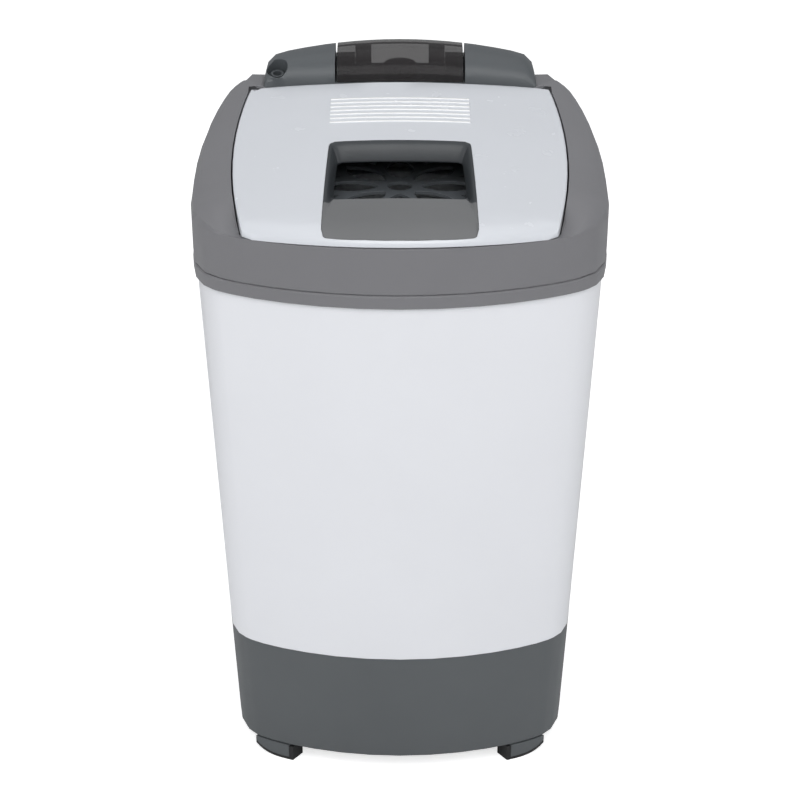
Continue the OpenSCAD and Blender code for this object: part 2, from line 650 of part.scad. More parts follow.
module timer_cover() color([0.2, 0.2, 0.21, 0.75]) {
    w = bay_half_w - cover_gap;
    first = 52;
    last = 174;
    barrel_r = cover_pin_r + 2;
    difference() {
        union() {
            skin([for (i = [0:8]) let (x = w * (i / 4 - 1)) concat(
                [for (phi = [first:(last - first) / 12:last + 0.01]) console_point(x, phi, 0)],
                [for (phi = [last:-(last - first) / 12:first - 0.01]) console_point(x, phi, cover_t)])],
                loop = false);
            for (side = [0, 1]) mirror([side, 0, 0])
                translate([arm_inner_x, cover_hinge.x, cover_hinge.y]) {
                    rotate([0, 90, 0]) cylinder(r = barrel_r, h = block_x - 0.6 - arm_inner_x, $fn = 32);
                    translate([0, -1, 0])
                        cube([block_x - 0.6 - arm_inner_x, 4, crest_z - cover_t - 0.2 - cover_hinge.y]);
                }
        }
        for (side = [0, 1]) mirror([side, 0, 0])
            translate([arm_inner_x - 1, cover_hinge.x, cover_hinge.y]) rotate([0, 90, 0])
                cylinder(r = cover_pin_r + pin_fit, h = 20, $fn = 32);
    }
}

module cover_hinge_pins() color([0.7, 0.7, 0.72]) for (side = [0, 1]) mirror([side, 0, 0])
    translate([arm_inner_x + 2, cover_hinge.x, cover_hinge.y]) rotate([0, 90, 0])
        cylinder(r = cover_pin_r, h = 23.5, $fn = 32);

dial_r = 23.5;
dial_t = 0.8;
module dial_plate() color([0.3, 0.31, 0.33]) translate([0, knob_y, bay_z + 0.02]) difference() {
    intersection() {
        cylinder(r = dial_r, h = dial_t, $fn = 96);
        translate([-40, -17.5, -1]) cube([80, 36.5, 5]);
    }
    translate([0, 0, -1]) cylinder(r = spindle_r + 1, h = 4, $fn = 32);
}

module timer_knob() color([0.2, 0.2, 0.22]) translate([0, knob_y, bay_z + dial_t + 0.4]) difference() {
    union() {
        rotate_extrude($fn = 96) polygon([[0, 0], [knob_r - 0.4, 0], [knob_r - 1, knob_h - 2.2],
            [knob_r - 1.4, knob_h - 1], [knob_r - 2.6, knob_h - 0.3], [knob_r - 4.5, knob_h], [0, knob_h]]);
        for (i = [0:knob_ribs - 1]) rotate(360 * i / knob_ribs)
            translate([knob_r - 1.4, 0, 0]) cylinder(r = 1, h = knob_h - 2, $fn = 16);
    }
    translate([0, 0, -1]) cylinder(r = spindle_r + 0.02, h = knob_h - 3, $fn = 48);
    translate([-0.7, -knob_r + 3, knob_h - 0.6]) cube([1.4, knob_r - 4, 2]);
}

// Spring-wound timer under the console, with its spindle through the ledge.
module timer_unit() color([0.75, 0.74, 0.7]) {
    box = [44, 34, 26];
    top = console_deck_z - wall - 0.4;
    translate([0, knob_y, 0]) {
        translate([-box.x / 2, -box.y / 2, top - box.z]) cube(box);
        translate([0, 0, top - 1]) cylinder(r = spindle_r, h = bay_z + dial_t + knob_h - 4.5 - top, $fn = 48);
        for (side = [-1, 1]) translate([side * 26, 0, top - 1.4]) linear_extrude(1.4) difference() {
            square([12, 12], center = true);
            translate([side * 1.5, 0]) circle(r = 2.1, $fn = 24);
        }
    }
}

// Cup and nozzle where the rinse hose is pushed on.
module rinse_inlet() color([0.22, 0.23, 0.25])
    translate([inlet_x, inlet_y, inlet_z]) rotate([inlet_tilt, 0, 0]) difference() {
        union() {
            translate([0, 0, 0.2 - inlet_depth]) cylinder(r = inlet_cup_r - 0.2, h = 1.6, $fn = 64);
            translate([0, 0, 0.2 - inlet_depth]) cylinder(r = nozzle_r, h = inlet_depth + 0.6, $fn = 64);
        }
        translate([0, 0, -9]) cylinder(r = nozzle_bore_r, h = 16, $fn = 64);
    }

// ---- Inner cover over the mouth of the tub ----

cover_rim_r = mouth_r + 4;
inner_hinge = [front_y + 272.3, deck_z + 4.6];
inner_pin_r = 1.8;
cover_cut_y = inner_hinge.x - 4;

module petal(root, tip, w) {
    // Two arcs that meet in points at the root and the tip.
    half = (tip - root) / 2;
    r = (half * half + w * w / 4) / w;
    translate([root + half, 0]) intersection() {
        translate([0, w / 2 - r]) circle(r = r, $fn = 96);
        translate([0, r - w / 2]) circle(r = r, $fn = 96);
    }
}

module inner_cover() color([0.27, 0.28, 0.3]) {
    plate_z0 = deck_z + slack;
    ear_w = 7;
    ear_x0 = 30;
    difference() {
        union() {
            translate([0, tub_y, plate_z0]) linear_extrude(inner_cover_t) difference() {
                intersection() {
                    circle(r = cover_rim_r, $fn = 128);
                    translate([-150, -150]) square([300, 150 + cover_cut_y - tub_y]);
                }
                circle(r = middle_hole_r, $fn = 64);
                for (i = [0:petals - 1]) rotate(360 * i / petals) petal(petal_root, petal_tip, petal_w);
                for (i = [0:petals - 1]) rotate(360 * (i + 0.5) / petals) petal(petal_tip - 11, 98, 15);
                for (i = [0:petals - 1]) rotate(360 * i / petals) petal(petal_tip + 7, 98, 15);
            }
            translate([0, tub_y, 0]) rotate_extrude($fn = 128)
                translate([mouth_r - 4, plate_z0 + 2]) square([2.2, 3.5]);
            for (side = [0, 1]) mirror([side, 0, 0]) translate([ear_x0, 0, 0]) {
                translate([0, inner_hinge.x, inner_hinge.y]) rotate([0, 90, 0])
                    cylinder(r = inner_pin_r + 1.8, h = ear_w, $fn = 32);
                translate([0, cover_cut_y - 8, plate_z0 + 0.2])
                    cube([ear_w, inner_hinge.x - cover_cut_y + 8, 2.6]);
            }
        }
        translate([-60, inner_hinge.x, inner_hinge.y]) rotate([0, 90, 0])
            cylinder(r = inner_pin_r + pin_fit, h = 120, $fn = 32);
    }
}

module inner_cover_bracket() color([0.4, 0.41, 0.42]) difference() {
    lug_x = [24, 39];
    union() for (side = [0, 1], x = lug_x) mirror([side, 0, 0]) {
        translate([x, inner_hinge.x - 2, deck_z + 0.05]) cube([4.5, 4.6, inner_hinge.y - deck_z]);
        translate([x, inner_hinge.x, inner_hinge.y]) rotate([0, 90, 0])
            cylinder(r = inner_pin_r + 1.6, h = 4.5, $fn = 32);
    }
    translate([-60, inner_hinge.x, inner_hinge.y]) rotate([0, 90, 0])
        cylinder(r = inner_pin_r, h = 120, $fn = 32);
}
module inner_cover_pin() color([0.7, 0.7, 0.72]) for (side = [0, 1]) mirror([side, 0, 0])
    translate([24.5, inner_hinge.x, inner_hinge.y]) rotate([0, 90, 0])
        cylinder(r = inner_pin_r, h = 18.5, $fn = 32);

// ---- Tub, basket and drive ----

tub_top_z = deck_z - wall - slack;
tub_hub_r = 40;
sump_r = 14;
module outer_tub() color([0.8, 0.82, 0.84]) difference() {
    union() {
        translate([0, tub_y, 0]) rotate_extrude($fn = 128) polygon([
            [tub_hub_r, tub_z + 6], [tub_hub_r, tub_z + 18], [tub_hub_r + wall, tub_z + 18],
            [tub_hub_r + wall, tub_z + 6 + wall], [tub_r - 8, tub_z + wall], [tub_r - wall, tub_z + wall + 5],
            [tub_r - wall, tub_top_z], [tub_r, tub_top_z], [tub_r, tub_z + 5], [tub_r - 6, tub_z],
            [tub_hub_r + wall, tub_z + 6]]);
        translate([0, tub_y + tub_r - 18, tub_z - 14]) cylinder(r = sump_r, h = 16, $fn = 48);
        for (i = [0:3]) translate([0, tub_y, 0]) rotate(45 + 90 * i)
            translate([tub_r - 0.5, -1.5, tub_z + 30]) cube([11, 3, tub_top_z - tub_z - 60]);
    }
    translate([0, tub_y + tub_r - 18, tub_z - 20]) cylinder(r = sump_r - wall, h = 30, $fn = 48);
}

// Rubber bellows between the tub's hub and the shaft housing.
module tub_seal() color([0.1, 0.1, 0.1]) translate([0, tub_y, tub_z + 6]) rotate_extrude($fn = 96)
    polygon([[shaft_r + 3, 2], [shaft_r + 3, 12], [shaft_r + 6, 12], [shaft_r + 8, 8], [19, 8], [24, 3],
        [29, 8], [34, 3], [tub_hub_r - 0.05, 6], [tub_hub_r - 0.05, 2], [34, 0], [29, 4.6], [24, 0],
        [18, 4.6], [shaft_r + 7, 4.6], [shaft_r + 6, 2]]);

// Elbow from the tub's sump down and out through the back of the base.
module drain_spout() color([0.2, 0.2, 0.21]) {
    y = tub_y + tub_r - 18;
    back = base_back(0, spout_z);
    top = tub_z - 2;
    end = back + spout_tail;
    difference() {
        union() {
            translate([0, y, spout_z]) cylinder(r = sump_r - wall - 0.2, h = top - spout_z, $fn = 48);
            translate([0, y, spout_z]) rotate([-90, 0, 0]) cylinder(r = spout_r, h = end - y, $fn = 64);
            translate([0, y, spout_z]) sphere(r = spout_r, $fn = 48);
            translate([0, back + 0.9, spout_z]) rotate([-90, 0, 0])
                cylinder(r = spout_r + 3, h = 2, $fn = 64);
        }
        translate([0, y, spout_z]) cylinder(r = spout_bore_r - 0.5, h = top, $fn = 48);
        translate([0, y, spout_z]) rotate([-90, 0, 0]) cylinder(r = spout_bore_r, h = end, $fn = 64);
    }
}
spout_tail = 17.6;

ring_h = 28;
module spin_basket() color([0.78, 0.79, 0.8]) translate([0, tub_y, basket_z]) difference() {
    rotate_extrude($fn = 128) polygon([
        [12, 18], [26, 18], [36, 6], [basket_r - 12, 0], [basket_r - 4, 3], [basket_r, 11],
        [basket_r, basket_h - ring_h], [basket_r - basket_wall, basket_h - ring_h],
        [basket_r - basket_wall, 11.4], [basket_r - 4.6, 4.2], [basket_r - 12.2, basket_wall],
        [36.4, 6 + basket_wall], [26.6, 18 + basket_wall], [12, 18 + basket_wall]]);
    pitch = (basket_h - ring_h - 50) / (hole_rows - 1);
    for (row = [0:hole_rows - 1], i = [0:holes_per_row - 1])
        translate([0, 0, 30 + row * pitch]) rotate(360 * (i + (row % 2) / 2) / holes_per_row)
            translate([basket_r - 3, 0, 0]) rotate([0, 90, 0]) cylinder(r = basket_hole_r, h = 6, $fn = 16);
    for (i = [0:7]) rotate(45 * i + 22.5) translate([70, 0, -2])
        cylinder(r = basket_hole_r, h = 12, $fn = 16);
}

module balance_ring() color([0.85, 0.86, 0.88]) translate([0, tub_y, basket_z + basket_h - ring_h])
    rotate_extrude($fn = 128) polygon([
        [basket_r - basket_wall - 0.2, -6], [basket_r - basket_wall - 0.2, 0.1], [basket_r + 1, 0.1],
        [basket_r + 1, ring_h - 4], [basket_r - 3, ring_h], [basket_r - 14, ring_h],
        [basket_r - 18, ring_h - 5], [basket_r - 18, 2], [basket_r - 15, -6]]);

// Drive hub under the basket's raised centre.
hub_top = 21;
module basket_hub() color([0.72, 0.73, 0.75]) translate([0, tub_y, basket_z]) rotate_extrude($fn = 64)
    polygon([[shaft_r + 0.02, -4], [14, -4], [14, 9], [24, 13.5], [24, 17.9], [11.8, 17.9],
        [11.8, hub_top], [shaft_r + 0.02, hub_top]]);

module hub_nut() color([0.8, 0.8, 0.82]) translate([0, tub_y, basket_z + hub_top + 0.05]) difference() {
    union() {
        cylinder(r = 14, h = 2, $fn = 48);
        cylinder(r = 11, h = 9, $fn = 6);
    }
    translate([0, 0, -1]) cylinder(r = shaft_r + 0.02, h = 12, $fn = 48);
}

motor_low = plate_z - 22;
motor_high = plate_z + 6 + core_h + 20;
flange_z = plate_z + 3.2;
bearing_r = 11;
bearing_w = 8;
drum_z = motor_high + 4;
drum_h = 14;

module drive_shaft() color([0.7, 0.7, 0.72]) translate([0, tub_y, 0]) rotate_extrude($fn = 64) polygon([
    [0, motor_low - 3], [shaft_r - 1, motor_low - 3], [shaft_r, motor_low - 2],
    [shaft_r, basket_z + hub_top + 13], [shaft_r - 1, basket_z + hub_top + 14],
    [0, basket_z + hub_top + 14]]);

module motor_bearings() color([0.6, 0.6, 0.62]) for (z = [motor_low + 3, motor_high - 3 - bearing_w])
    translate([0, tub_y, z]) rotate_extrude($fn = 64) polygon([[shaft_r + 0.03, 0], [bearing_r, 0],
        [bearing_r, bearing_w], [shaft_r + 0.03, bearing_w]]);

rotor_r = 32;
module motor_rotor() color([0.5, 0.5, 0.52]) translate([0, tub_y, plate_z + 6]) rotate_extrude($fn = 96)
    polygon([[shaft_r + 0.02, 4], [rotor_r - 8, 4], [rotor_r - 8, 0], [rotor_r - 2, 0], [rotor_r, 4],
        [rotor_r, core_h - 4], [rotor_r - 2, core_h], [rotor_r - 8, core_h], [rotor_r - 8, core_h - 4],
        [shaft_r + 0.02, core_h - 4]]);

// Laminated ring with its winding heads.
module motor_stator() color([0.72, 0.42, 0.2]) translate([0, tub_y, plate_z + 6]) rotate_extrude($fn = 96)
    polygon([[rotor_r + 0.6, 6], [motor_r - 3.1, 6], [motor_r - 3.1, core_h - 6], [motor_r - 6, core_h - 6],
        [motor_r - 7, core_h + 2], [rotor_r + 6, core_h + 2], [rotor_r + 5, core_h - 6],
        [rotor_r + 0.6, core_h - 6]]);

// Two end shields and the shell between them, with a flange that bolts to the motor plate.
module motor_casing() color([0.55, 0.56, 0.58]) translate([0, tub_y, 0]) difference() {
    top = motor_high;
    low = motor_low;
    b = bearing_r + 0.03;
    rotate_extrude($fn = 96) polygon([[8.5, low], [20, low], [motor_r - 8, low + 12], [motor_r, low + 20],
        [motor_r, flange_z], [motor_r + 8, flange_z], [motor_r + 8, flange_z + 3], [motor_r, flange_z + 3],
        [motor_r, top - 20], [motor_r - 8, top - 10], [20, top], [8.5, top], [8.5, top - 3], [b, top - 3],
        [b, top - 3 - bearing_w], [14, top - 3 - bearing_w], [20, top - 3.4], [motor_r - 10, top - 12.6],
        [motor_r - 3, top - 20.6], [motor_r - 3, low + 20.6], [motor_r - 10, low + 14.6], [20, low + 3.4],
        [14, low + 3 + bearing_w], [b, low + 3 + bearing_w], [b, low + 3], [8.5, low + 3]]);
    for (a = mount_angles) rotate(a + 60) translate([bolt_circle_r, 0, flange_z - 1])
        cylinder(r = bolt_r + 0.1, h = 5, $fn = 24);
}

mount_angles = [90, 210, 330];
// Three-armed pressed plate that carries the motor on its mounts.
module motor_plate() color([0.58, 0.59, 0.61]) translate([0, tub_y, plate_z]) difference() {
    union() {
        cylinder(r = motor_r + 14, h = 3, $fn = 96);
        for (a = mount_angles) rotate(a) {
            translate([motor_r, -16, 0]) cube([mount_circle_r - motor_r, 32, 3]);
            translate([mount_circle_r, 0, 0]) cylinder(r = 16, h = 3, $fn = 64);
        }
    }
    translate([0, 0, -1]) cylinder(r = motor_r + 0.3, h = 5, $fn = 96);
    for (a = mount_angles) rotate(a) translate([mount_circle_r, 0, -1])
        cylinder(r = stud_r + 0.2, h = 5, $fn = 32);
    for (a = mount_angles) rotate(a + 60) translate([bolt_circle_r, 0, -1])
        cylinder(r = bolt_r + 0.1, h = 5, $fn = 24);
}
stud_r = 3;
bolt_r = 2;
bolt_circle_r = motor_r + 4.4;

module motor_bolts() color([0.75, 0.75, 0.76]) translate([0, tub_y, 0])
    for (a = mount_angles) rotate(a + 60) translate([bolt_circle_r, 0, 0]) {
        translate([0, 0, plate_z - 3]) cylinder(r = bolt_r, h = 9.4, $fn = 24);
        translate([0, 0, plate_z - 6.1]) cylinder(r = 3.4, h = 6, $fn = 6);
        translate([0, 0, flange_z + 3.05]) cylinder(r = 3.4, h = 2.4, $fn = 6);
    }

// Rubber and spring legs between the base's floor and the motor plate.
module suspension_mounts() color([0.13, 0.13, 0.13]) translate([0, tub_y, 0]) for (a = mount_angles) rotate(a)
    translate([mount_circle_r, 0, base_z + wall]) {
        h = plate_z - base_z - wall;
        rotate_extrude($fn = 48) polygon([[0, 0.05], [9.5, 0.05], [9.5, 5], [6.5, 8], [8.5, 12], [6.5, 16],
            [8.5, 20], [6.5, 24], [8.5, 28], [6.5, 31], [9.5, h - 4], [9.5, h - 0.05], [stud_r, h - 0.05],
            [stud_r, h + 10], [0, h + 10]]);
    }

module capacitor() color([0.85, 0.85, 0.87]) translate([-110, 34, base_z + wall + 0.05]) {
    cylinder(r = 16, h = 52, $fn = 64);
    cylinder(r = 18.5, h = 5, $fn = 64);
    for (side = [-1, 1]) translate([side * 5 - 3, -0.4, 51]) cube([6, 0.8, 10]);
}

// ---- Brake ----

brake_z = drum_z + 3;
brake_t = 7;
pivot = [70, -34];
pivot_r = 3;
tail_end = [69, 34];
module brake_drum() color([0.6, 0.61, 0.62]) translate([0, tub_y, drum_z]) rotate_extrude($fn = 96)
    polygon([[shaft_r + 0.02, 0], [12, 0], [12, 5], [drum_r - 3, 5], [drum_r - 3, 0], [drum_r, 0],
        [drum_r, drum_h], [drum_r - 3, drum_h], [drum_r - 3, 8], [12, 8], [12, 11], [shaft_r + 0.02, 11]]);

module brake_bracket() color([0.62, 0.63, 0.64]) translate([pivot.x, tub_y + pivot.y, 0]) {
    foot = plate_z + 3.05;
    translate([-4, -7, foot]) cube([15, 14, 3]);
    translate([3, -7, foot]) cube([3, 14, brake_z - 2 - foot]);
    translate([-5, -7, brake_z - 3]) cube([11, 14, 2.7]);
    translate([0, 0, brake_z - 1]) cylinder(r = pivot_r, h = brake_t + 4, $fn = 32);
}

// A flat bar of width w from p to q.
module stroke(p, q, w) let (d = q - p)
    translate(p) rotate(atan2(d.y, d.x)) translate([0, -w / 2]) square([norm(d), w]);

module brake_lever() color([0.66, 0.67, 0.68]) translate([0, tub_y, brake_z]) difference() {
    linear_extrude(brake_t) {
        translate(pivot) circle(r = 7, $fn = 48);
        stroke(pivot, [pad_x + 9, -10], 8);
        translate([pad_x + 5, -14]) square([5, 28]);
        stroke([pad_x + 9, 8], tail_end, 7);
        translate(tail_end) circle(r = 5, $fn = 32);
    }
    translate([pivot.x, pivot.y, -1]) cylinder(r = pivot_r + pin_fit, h = brake_t + 2, $fn = 48);
    translate([tail_end.x, tail_end.y, -1]) cylinder(r = 1.6, h = brake_t + 2, $fn = 24);
}
pad_x = drum_r + brake_gap;

module brake_pad() color([0.16, 0.12, 0.1]) translate([0, tub_y, brake_z + 0.5]) linear_extrude(brake_t - 1)
    difference() {
        translate([drum_r - 3, -12]) square([brake_gap + 7.95, 24]);
        circle(r = drum_r + brake_gap, $fn = 128);
    }

// Sheathed cable from the lid switch down beside the tub to the brake lever.
module brake_cable() color([0.1, 0.1, 0.1]) {
    r = 2.2;
    bottom = brake_z + brake_t / 2;
    route = [[switch_at.x, switch_at.y, switch_low - 0.3], [switch_at.x, switch_at.y, 400],
        [switch_at.x, switch_at.y, 300], [switch_at.x, switch_at.y, 215], [switch_at.x, switch_at.y - 1, 198],
        [switch_at.x - 3, switch_at.y - 5, 182], [switch_at.x - 9, switch_at.y - 12, 168],
        [switch_at.x - 17, switch_at.y - 22, bottom + 2], [switch_at.x - 26, switch_at.y - 33, bottom],
        [tail_end.x + 7, tub_y + tail_end.y + 6, bottom]];
    tube(route, r, 8);
}
// A round tube along a route; each ring faces halfway between its neighbours.
module tube(route, r, sides) {
    n = len(route) - 1;
    skin([for (i = [0:n]) let (
            t = route[min(n, i + 1)] - route[max(0, i - 1)], w = t / norm(t),
            u = cross(w, [0.6, -0.8, 0]) / norm(cross(w, [0.6, -0.8, 0])), v = cross(w, u))
        [for (a = [0:sides - 1]) route[i] + r * (u * cos(360 * a / sides) + v * sin(360 * a / sides))]],
        loop = false);
}

// ---- Lid switch ----

switch_at = [118, 72];
plunger_r = 4;
switch_box = [22, 20, 36];
switch_low = deck_z - wall - 0.4 - switch_box.z;
module lid_switch() color([0.9, 0.9, 0.88]) translate([switch_at.x, switch_at.y, switch_low]) difference() {
    translate([-switch_box.x / 2, -switch_box.y / 2, 0]) cube(switch_box);
    translate([0, 0, 6]) cylinder(r = plunger_r + pin_fit, h = 60, $fn = 48);
}
plunger_top = top_at(switch_at.x, switch_at.y) - lid_rim - 0.3;
module switch_plunger() color([0.9, 0.2, 0.15]) translate([switch_at.x, switch_at.y, 0])
    rotate_extrude($fn = 48) polygon([[0, switch_low + 8], [plunger_r, switch_low + 8],
        [plunger_r, plunger_top - 1.5], [plunger_r - 1.5, plunger_top], [0, plunger_top]]);

// Screws that hold the bottom plate to the base.
module cabinet_screws() color([0.7, 0.7, 0.7]) {
    for (i = [0:3]) translate([0, tub_y, base_z + 0.4]) rotate(45 + 90 * i)
        translate([plate_screw_r, 0, 0]) screw(wall + 1.2);
}
module screw(grip) {
    cylinder(r = screw_r, h = grip + 0.5, $fn = 24);
    translate([0, 0, grip + 0.25]) rotate_extrude($fn = 32) polygon([[0, 0], [3.6, 0], [3.2, 1.6], [0, 2.2]]);
}

base_housing();
bottom_plate();
foot_pad_front_left();
foot_pad_front_right();
foot_pad_rear_left();
foot_pad_rear_right();
cord_gland();
body_shell();
rim_band();
collar();
console_housing();
dial_plate();
timer_unit();
timer_knob();
timer_cover();
cover_hinge_pins();
rinse_inlet();
lid_panel();
lid_liner();
lid_handle();
lid_hinge_pins();
lid_switch();
switch_plunger();
inner_cover();
inner_cover_bracket();
inner_cover_pin();
outer_tub();
tub_seal();
drain_spout();
spin_basket();
balance_ring();
basket_hub();
hub_nut();
drive_shaft();
motor_rotor();
motor_stator();
motor_casing();
motor_bolts();
motor_bearings();
motor_plate();
suspension_mounts();
capacitor();
brake_drum();
brake_lever();
brake_pad();
brake_bracket();
brake_cable();
cabinet_screws();
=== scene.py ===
import json
from math import cos, radians, sin

import bpy
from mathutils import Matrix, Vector


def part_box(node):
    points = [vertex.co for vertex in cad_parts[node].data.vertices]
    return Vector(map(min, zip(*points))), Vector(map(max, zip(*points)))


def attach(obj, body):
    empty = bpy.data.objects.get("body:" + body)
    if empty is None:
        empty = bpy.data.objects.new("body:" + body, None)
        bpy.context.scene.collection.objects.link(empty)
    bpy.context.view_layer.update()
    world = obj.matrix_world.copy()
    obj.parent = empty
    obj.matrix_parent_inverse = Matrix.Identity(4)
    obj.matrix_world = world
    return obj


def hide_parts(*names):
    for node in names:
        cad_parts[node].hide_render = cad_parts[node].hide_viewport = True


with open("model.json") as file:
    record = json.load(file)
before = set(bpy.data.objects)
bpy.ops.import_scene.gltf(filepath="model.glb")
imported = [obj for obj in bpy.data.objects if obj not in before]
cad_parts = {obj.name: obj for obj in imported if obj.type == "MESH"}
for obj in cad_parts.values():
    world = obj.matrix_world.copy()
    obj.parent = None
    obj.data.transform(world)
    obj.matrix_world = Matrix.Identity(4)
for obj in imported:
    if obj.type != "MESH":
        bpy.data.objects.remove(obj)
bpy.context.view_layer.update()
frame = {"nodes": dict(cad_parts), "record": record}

# ---- Base ----
# The base is one dark grey polypropylene moulding with a fine spark-eroded grain.
# It is moulded with its four feet and laps up inside the white body; every edge has the
# small radius that a tool leaves, slightly polished by handling.
node_body = {n: b for b, nodes in frame["record"]["behaviour"]["bodies"].items() for n in nodes}


def wire(tree, kind, **values):
    node = tree.nodes.new(kind)
    for name, value in values.items():
        setattr(node, name, value)
    return node


def shader_group(name, inputs, outputs):
    tree = bpy.data.node_groups.new(name, "ShaderNodeTree")
    for label, kind, value in inputs:
        socket = tree.interface.new_socket(name=label, in_out="INPUT", socket_type=kind)
        if value is not None:
            socket.default_value = value
    for label, kind in outputs:
        tree.interface.new_socket(name=label, in_out="OUTPUT", socket_type=kind)
    return tree, tree.nodes.new("NodeGroupInput"), tree.nodes.new("NodeGroupOutput")


def reckon(tree, operation, *terms, clamp=False):
    """The result of a Math node whose terms are numbers or sockets."""
    node = wire(tree, "ShaderNodeMath", operation=operation, use_clamp=clamp)
    for socket, term in zip(node.inputs, terms):
        if isinstance(term, float):
            socket.default_value = term
        else:
            tree.links.new(term, socket)
    return node.outputs[0]


def noise(tree, place, scale, detail):
    node = tree.nodes.new("ShaderNodeTexNoise")
    node.inputs["Detail"].default_value = detail
    if isinstance(scale, float):
        node.inputs["Scale"].default_value = scale
    else:
        tree.links.new(scale, node.inputs["Scale"])
    tree.links.new(place, node.inputs["Vector"])
    return node.outputs["Fac"]


def remap(tree, value, start, end, low=0.0, high=1.0, curve="LINEAR"):
    """A value taken from start..end to low..high, and held there; low may be a socket."""
    node = wire(tree, "ShaderNodeMapRange", interpolation_type=curve)
    node.inputs["From Min"].default_value = start
    node.inputs["From Max"].default_value = end
    node.inputs["To Max"].default_value = high
    if isinstance(low, float):
        node.inputs["To Min"].default_value = low
    else:
        tree.links.new(low, node.inputs["To Min"])
    tree.links.new(value, node.inputs["Value"])
    return node.outputs["Result"]


# Grain of a moulded face: fine pits, soft waviness, and slow changes of tone and sheen.
grain, grain_in, grain_out = shader_group(
    "moulded_grain",
    [("Place", "NodeSocketVector", None), ("Pits", "NodeSocketFloat", 1400.0),
     ("Tone Change", "NodeSocketFloat", 0.05), ("Roughness", "NodeSocketFloat", 0.4),
     ("Roughness Change", "NodeSocketFloat", 0.08)],
    [("Tone", "NodeSocketFloat"), ("Roughness", "NodeSocketFloat"), ("Height", "NodeSocketFloat")])
given = grain_in.outputs
swirl_height = 2.2
pits = noise(grain, given["Place"], given["Pits"], detail=3.0)
cloud = noise(grain, given["Place"], scale=9.0, detail=4.0)
swirl = noise(grain, given["Place"], scale=45.0, detail=5.0)
darkest = reckon(grain, "SUBTRACT", 1.0, given["Tone Change"])
rub = reckon(grain, "SUBTRACT", swirl, 0.5)
join = grain.links.new
join(remap(grain, cloud, 0.3, 0.7, low=darkest), grain_out.inputs["Tone"])
join(reckon(grain, "MULTIPLY_ADD", rub, given["Roughness Change"], given["Roughness"]),
     grain_out.inputs["Roughness"])
join(reckon(grain, "MULTIPLY_ADD", swirl, swirl_height, pits), grain_out.inputs["Height"])

# Rounded edges: the normal across a small radius, and a mask where the surface turns.
edges, edges_in, edges_out = shader_group(
    "worn_edges",
    [("Place", "NodeSocketVector", None), ("Wear", "NodeSocketFloat", 0.5)],
    [("Normal", "NodeSocketVector"), ("Worn", "NodeSocketFloat")])
edge_radius = 0.0006
rounded = wire(edges, "ShaderNodeBevel", samples=6)
rounded.inputs["Radius"].default_value = edge_radius
surface = wire(edges, "ShaderNodeNewGeometry")
facing = wire(edges, "ShaderNodeVectorMath", operation="DOT_PRODUCT")
join = edges.links.new
join(rounded.outputs["Normal"], facing.inputs[0])
join(surface.outputs["Normal"], facing.inputs[1])
turned = remap(edges, facing.outputs["Value"], 0.995, 0.86)
chips = noise(edges, edges_in.outputs["Place"], scale=160.0, detail=6.0)
broken = remap(edges, chips, 0.42, 0.62)
rubbed_through = reckon(edges, "MULTIPLY", turned, broken)
join(reckon(edges, "MULTIPLY", rubbed_through, edges_in.outputs["Wear"]), edges_out.inputs["Worn"])
join(rounded.outputs["Normal"], edges_out.inputs["Normal"])


def moulded(name, colour, worn, rough, pits=1400.0, depth=0.00004, tone=0.05, wear=0.5, coat=0.0):
    """A moulded plastic or rubber: its colour in linear light, and the colour of its worn edges."""
    material = bpy.data.materials.new(name)
    material.use_nodes = True
    tree = material.node_tree
    shader = tree.nodes["Principled BSDF"]
    shader.inputs["IOR"].default_value = 1.48
    shader.inputs["Coat Weight"].default_value = coat
    shader.inputs["Coat Roughness"].default_value = 0.12
    place = tree.nodes.new("ShaderNodeTexCoord")
    face = wire(tree, "ShaderNodeGroup", node_tree=grain)
    face.inputs["Pits"].default_value = pits
    face.inputs["Tone Change"].default_value = tone
    face.inputs["Roughness"].default_value = rough
    edge = wire(tree, "ShaderNodeGroup", node_tree=edges)
    edge.inputs["Wear"].default_value = wear
    shaded = wire(tree, "ShaderNodeMix", data_type="RGBA", blend_type="MULTIPLY")
    shaded.inputs["Factor"].default_value = 1.0
    shaded.inputs["A"].default_value = (*colour, 1.0)
    rubbed = wire(tree, "ShaderNodeMix", data_type="RGBA")
    rubbed.inputs["B"].default_value = (*worn, 1.0)
    bump = tree.nodes.new("ShaderNodeBump")
    bump.inputs["Distance"].default_value = depth
    bump.inputs["Strength"].default_value = 0.6
    join = tree.links.new
    join(place.outputs["Object"], face.inputs["Place"])
    join(place.outputs["Object"], edge.inputs["Place"])
    join(face.outputs["Tone"], shaded.inputs["B"])
    join(shaded.outputs["Result"], rubbed.inputs["A"])
    join(edge.outputs["Worn"], rubbed.inputs["Factor"])
    join(rubbed.outputs["Result"], shader.inputs["Base Color"])
    join(face.outputs["Roughness"], shader.inputs["Roughness"])
    join(face.outputs["Height"], bump.inputs["Height"])
    join(edge.outputs["Normal"], bump.inputs["Normal"])
    join(bump.outputs["Normal"], shader.inputs["Normal"])
    return material


def clear_selection():
    bpy.ops.object.select_all(action="DESELECT")


def select_only(piece):
    clear_selection()
    piece.select_set(True)
    bpy.context.view_layer.objects.active = piece


def dress(piece, material, body):
    """The finish, body and slot of a piece that is in place."""
    piece.data.materials.clear()
    piece.data.materials.append(material)
    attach(piece, body)
    return piece


merge_distance = 0.000004


